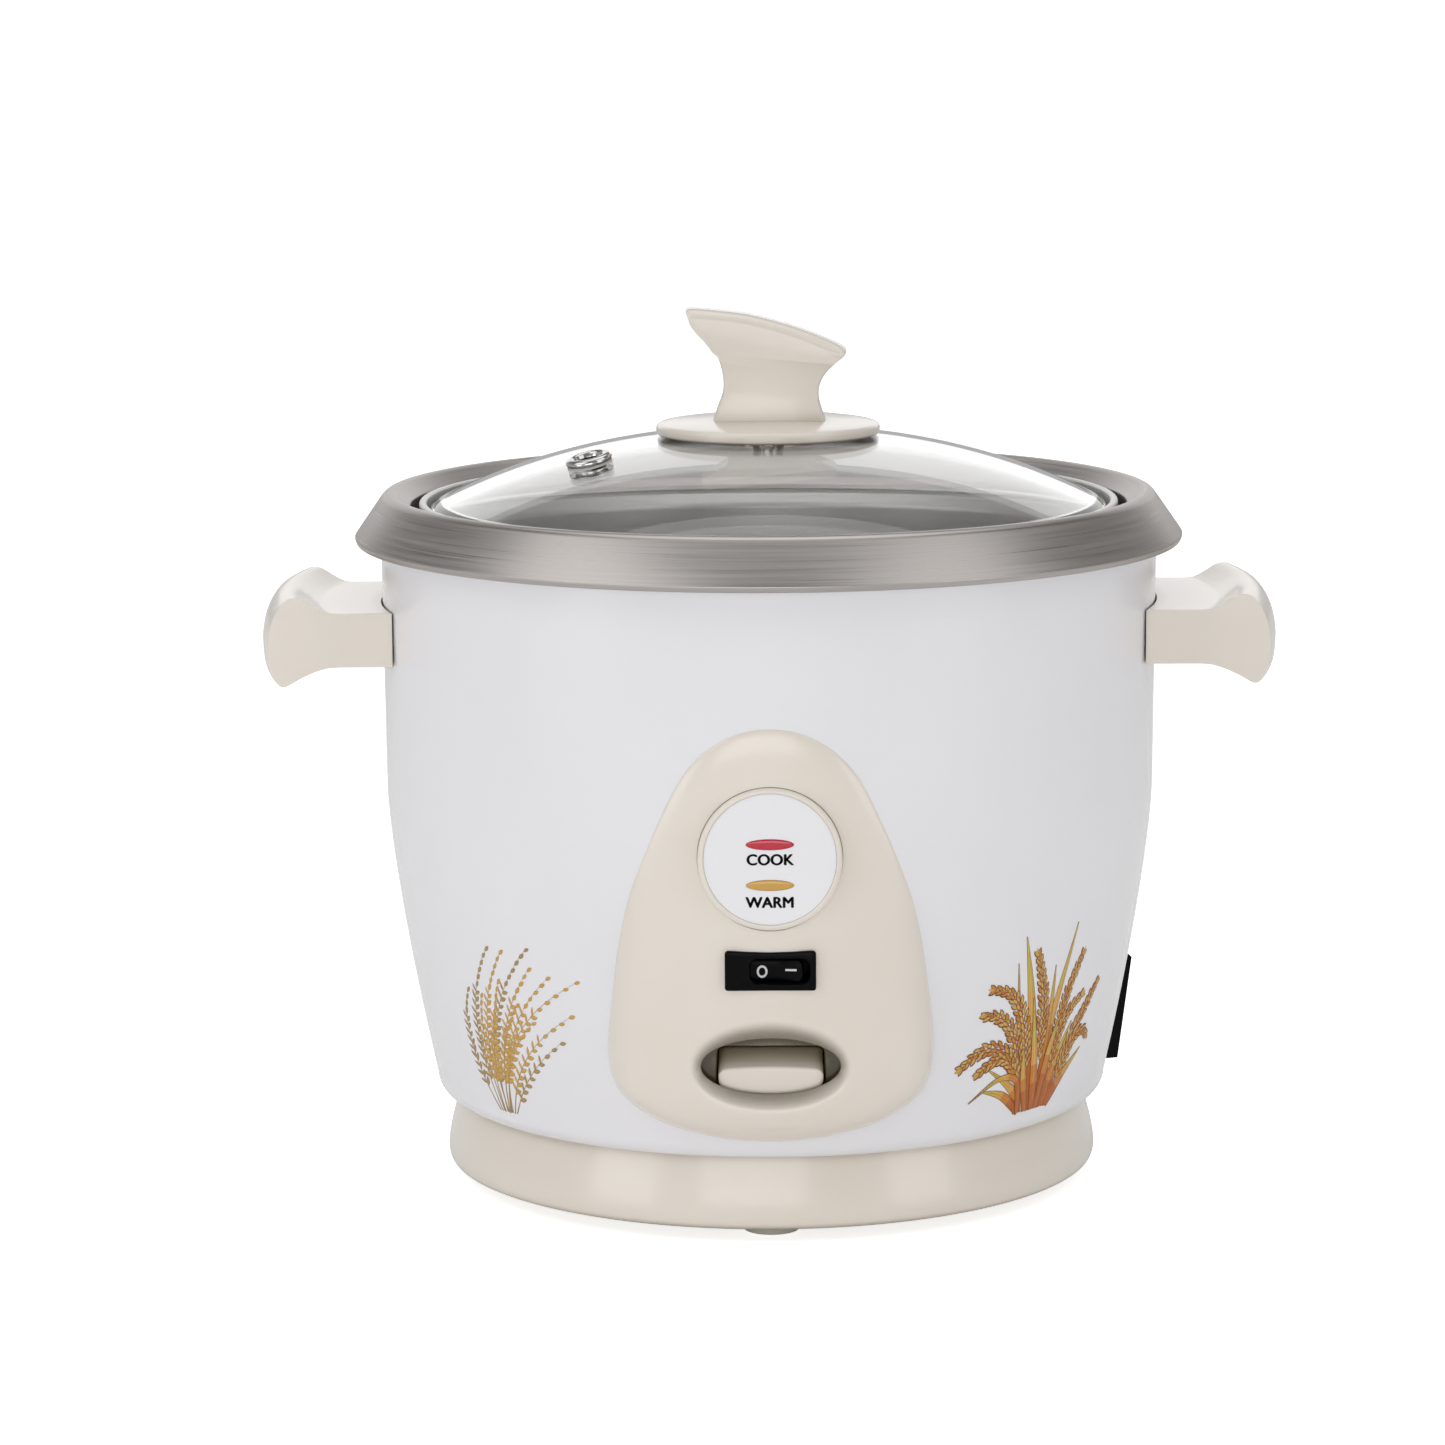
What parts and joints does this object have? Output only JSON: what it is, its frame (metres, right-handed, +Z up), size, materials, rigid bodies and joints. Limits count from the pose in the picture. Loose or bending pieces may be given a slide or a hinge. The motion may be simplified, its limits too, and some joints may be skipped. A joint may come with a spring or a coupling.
{
  "type": "rice cooker",
  "caption": "Round electric rice cooker with enamelled casing, steel rim, lift-out pot, glass lid with knob, side handles, cook lever and power switch.",
  "frame": {"origin": "centre of the plane that the three feet stand on, on the axis of the round casing", "axes": "+Z up along the casing's axis, -Y towards the control panel, +X towards the right handle as seen from the front"},
  "size_m": [0.3138, 0.256, 0.2702],
  "materials": {
    "enamel": "white stoved enamel, glossy, with printed rice motifs",
    "rim_steel": "stainless steel brushed around its axis",
    "cream_plastic": "cream moulded plastic, satin",
    "white_plastic": "white plastic, smooth",
    "black_plastic": "black moulded plastic, glossy",
    "red_plastic": "red moulded plastic",
    "red_lens": "translucent red lamp window",
    "amber_lens": "translucent amber lamp window",
    "lamp_glass": "clear neon lamp glass",
    "foot_rubber": "pale grey rubber, matte",
    "zinc_hardware": "bright zinc plated steel screws and pins",
    "zinc_sheet": "galvanised steel sheet",
    "cast_aluminium": "cast and turned aluminium",
    "pot_aluminium": "spun aluminium, satin",
    "element_steel": "heat-darkened steel sheath",
    "spring_steel": "drawn spring wire",
    "brass_contacts": "plated brass pins",
    "ferrite_black": "sintered ferrite, dull",
    "ceramic_cream": "glazed ceramic body",
    "lid_glass": "clear tempered glass",
    "vent_chrome": "polished stainless steel",
    "seal_silicone": "translucent silicone seal"
  },
  "bodies": {
    "casing": {"outer_shell": "enamel", "rim_ring": "rim_steel", "base_ring": "cream_plastic", "base_screws": "zinc_hardware", "bottom_plate": "zinc_sheet", "plate_screws": "zinc_hardware", "rubber_feet": "foot_rubber", "left_handle": "cream_plastic", "right_handle": "cream_plastic", "handle_screws": "zinc_hardware", "heat_shield": "zinc_sheet", "control_panel": "cream_plastic", "lens_bezel": "cream_plastic", "indicator_disc": "white_plastic", "cook_lamp": "red_lens", "warm_lamp": "amber_lens", "lamp_holder": "white_plastic", "neon_lamps": "lamp_glass", "switch_frame": "black_plastic", "power_inlet": "black_plastic", "inlet_pins": "brass_contacts", "inlet_screws": "zinc_hardware", "heating_plate": "cast_aluminium", "heating_element": "element_steel", "plate_bolts": "zinc_hardware", "sensor_sleeve": "zinc_sheet", "keep_warm_thermostat": "ceramic_cream", "thermal_fuse": "ceramic_cream", "lever_bracket": "zinc_sheet", "lever_pin": "zinc_hardware", "microswitch": "black_plastic", "sensor_spring": "spring_steel"},
    "pot": {"inner_pot": "pot_aluminium"},
    "lid": {"glass_lid": "lid_glass", "vent_eyelet": "vent_chrome", "vent_gasket": "seal_silicone", "lid_knob": "cream_plastic", "knob_gasket": "seal_silicone", "knob_washer": "vent_chrome", "knob_screw": "zinc_hardware"},
    "rocker": {"switch_rocker": "black_plastic"},
    "cook_lever": {"lever_arm": "zinc_sheet", "lever_knob": "cream_plastic"},
    "magnet_unit": {"magnet": "ferrite_black", "magnet_holder": "zinc_sheet", "release_spring": "spring_steel"},
    "sensor": {"sensor_cap": "cast_aluminium", "sensor_ferrite": "ferrite_black"},
    "switch_button": {"microswitch_button": "red_plastic"}
  },
  "joints": [
    {"name": "pot_lift", "type": "slide", "parent": "casing", "child": "pot", "axis": [0, 0, 1], "range_m": [0, 0.2]},
    {"name": "lid_lift", "type": "slide", "parent": "pot", "child": "lid", "axis": [0, 0, 1], "range_m": [0, 0.12]},
    {"name": "rocker_turn", "type": "hinge", "parent": "casing", "child": "rocker", "pos_m": [0.0027, -0.1153, 0.0873], "axis": [0, 0, 1], "range_deg": [0, 18]},
    {"name": "lever_press", "type": "hinge", "parent": "casing", "child": "cook_lever", "pos_m": [0, -0.062, 0.05], "axis": [1, 0, 0], "range_deg": [0, 5.6], "stiffness_Nm_per_rad": 0.4, "springref_deg": -6.88},
    {"name": "magnet_lift", "type": "slide", "parent": "casing", "child": "magnet_unit", "axis": [0, 0, 1], "range_m": [0, 0.0062], "deforming": ["release_spring"]},
    {"name": "button_travel", "type": "slide", "parent": "casing", "child": "switch_button", "axis": [0, 0, 1], "range_m": [0, 0.0016]},
    {"name": "sensor_press", "type": "slide", "parent": "casing", "child": "sensor", "axis": [0, 0, 1], "range_m": [-0.002, 0], "stiffness_N_per_m": 400, "springref_m": 0.003, "deforming": ["sensor_spring"]}
  ],
  "couplings": [
    {"joint": "magnet_lift", "follows": "lever_press", "m_per_rad": 0.062},
    {"joint": "button_travel", "follows": "lever_press", "m_per_rad": 0.0155}
  ]
}
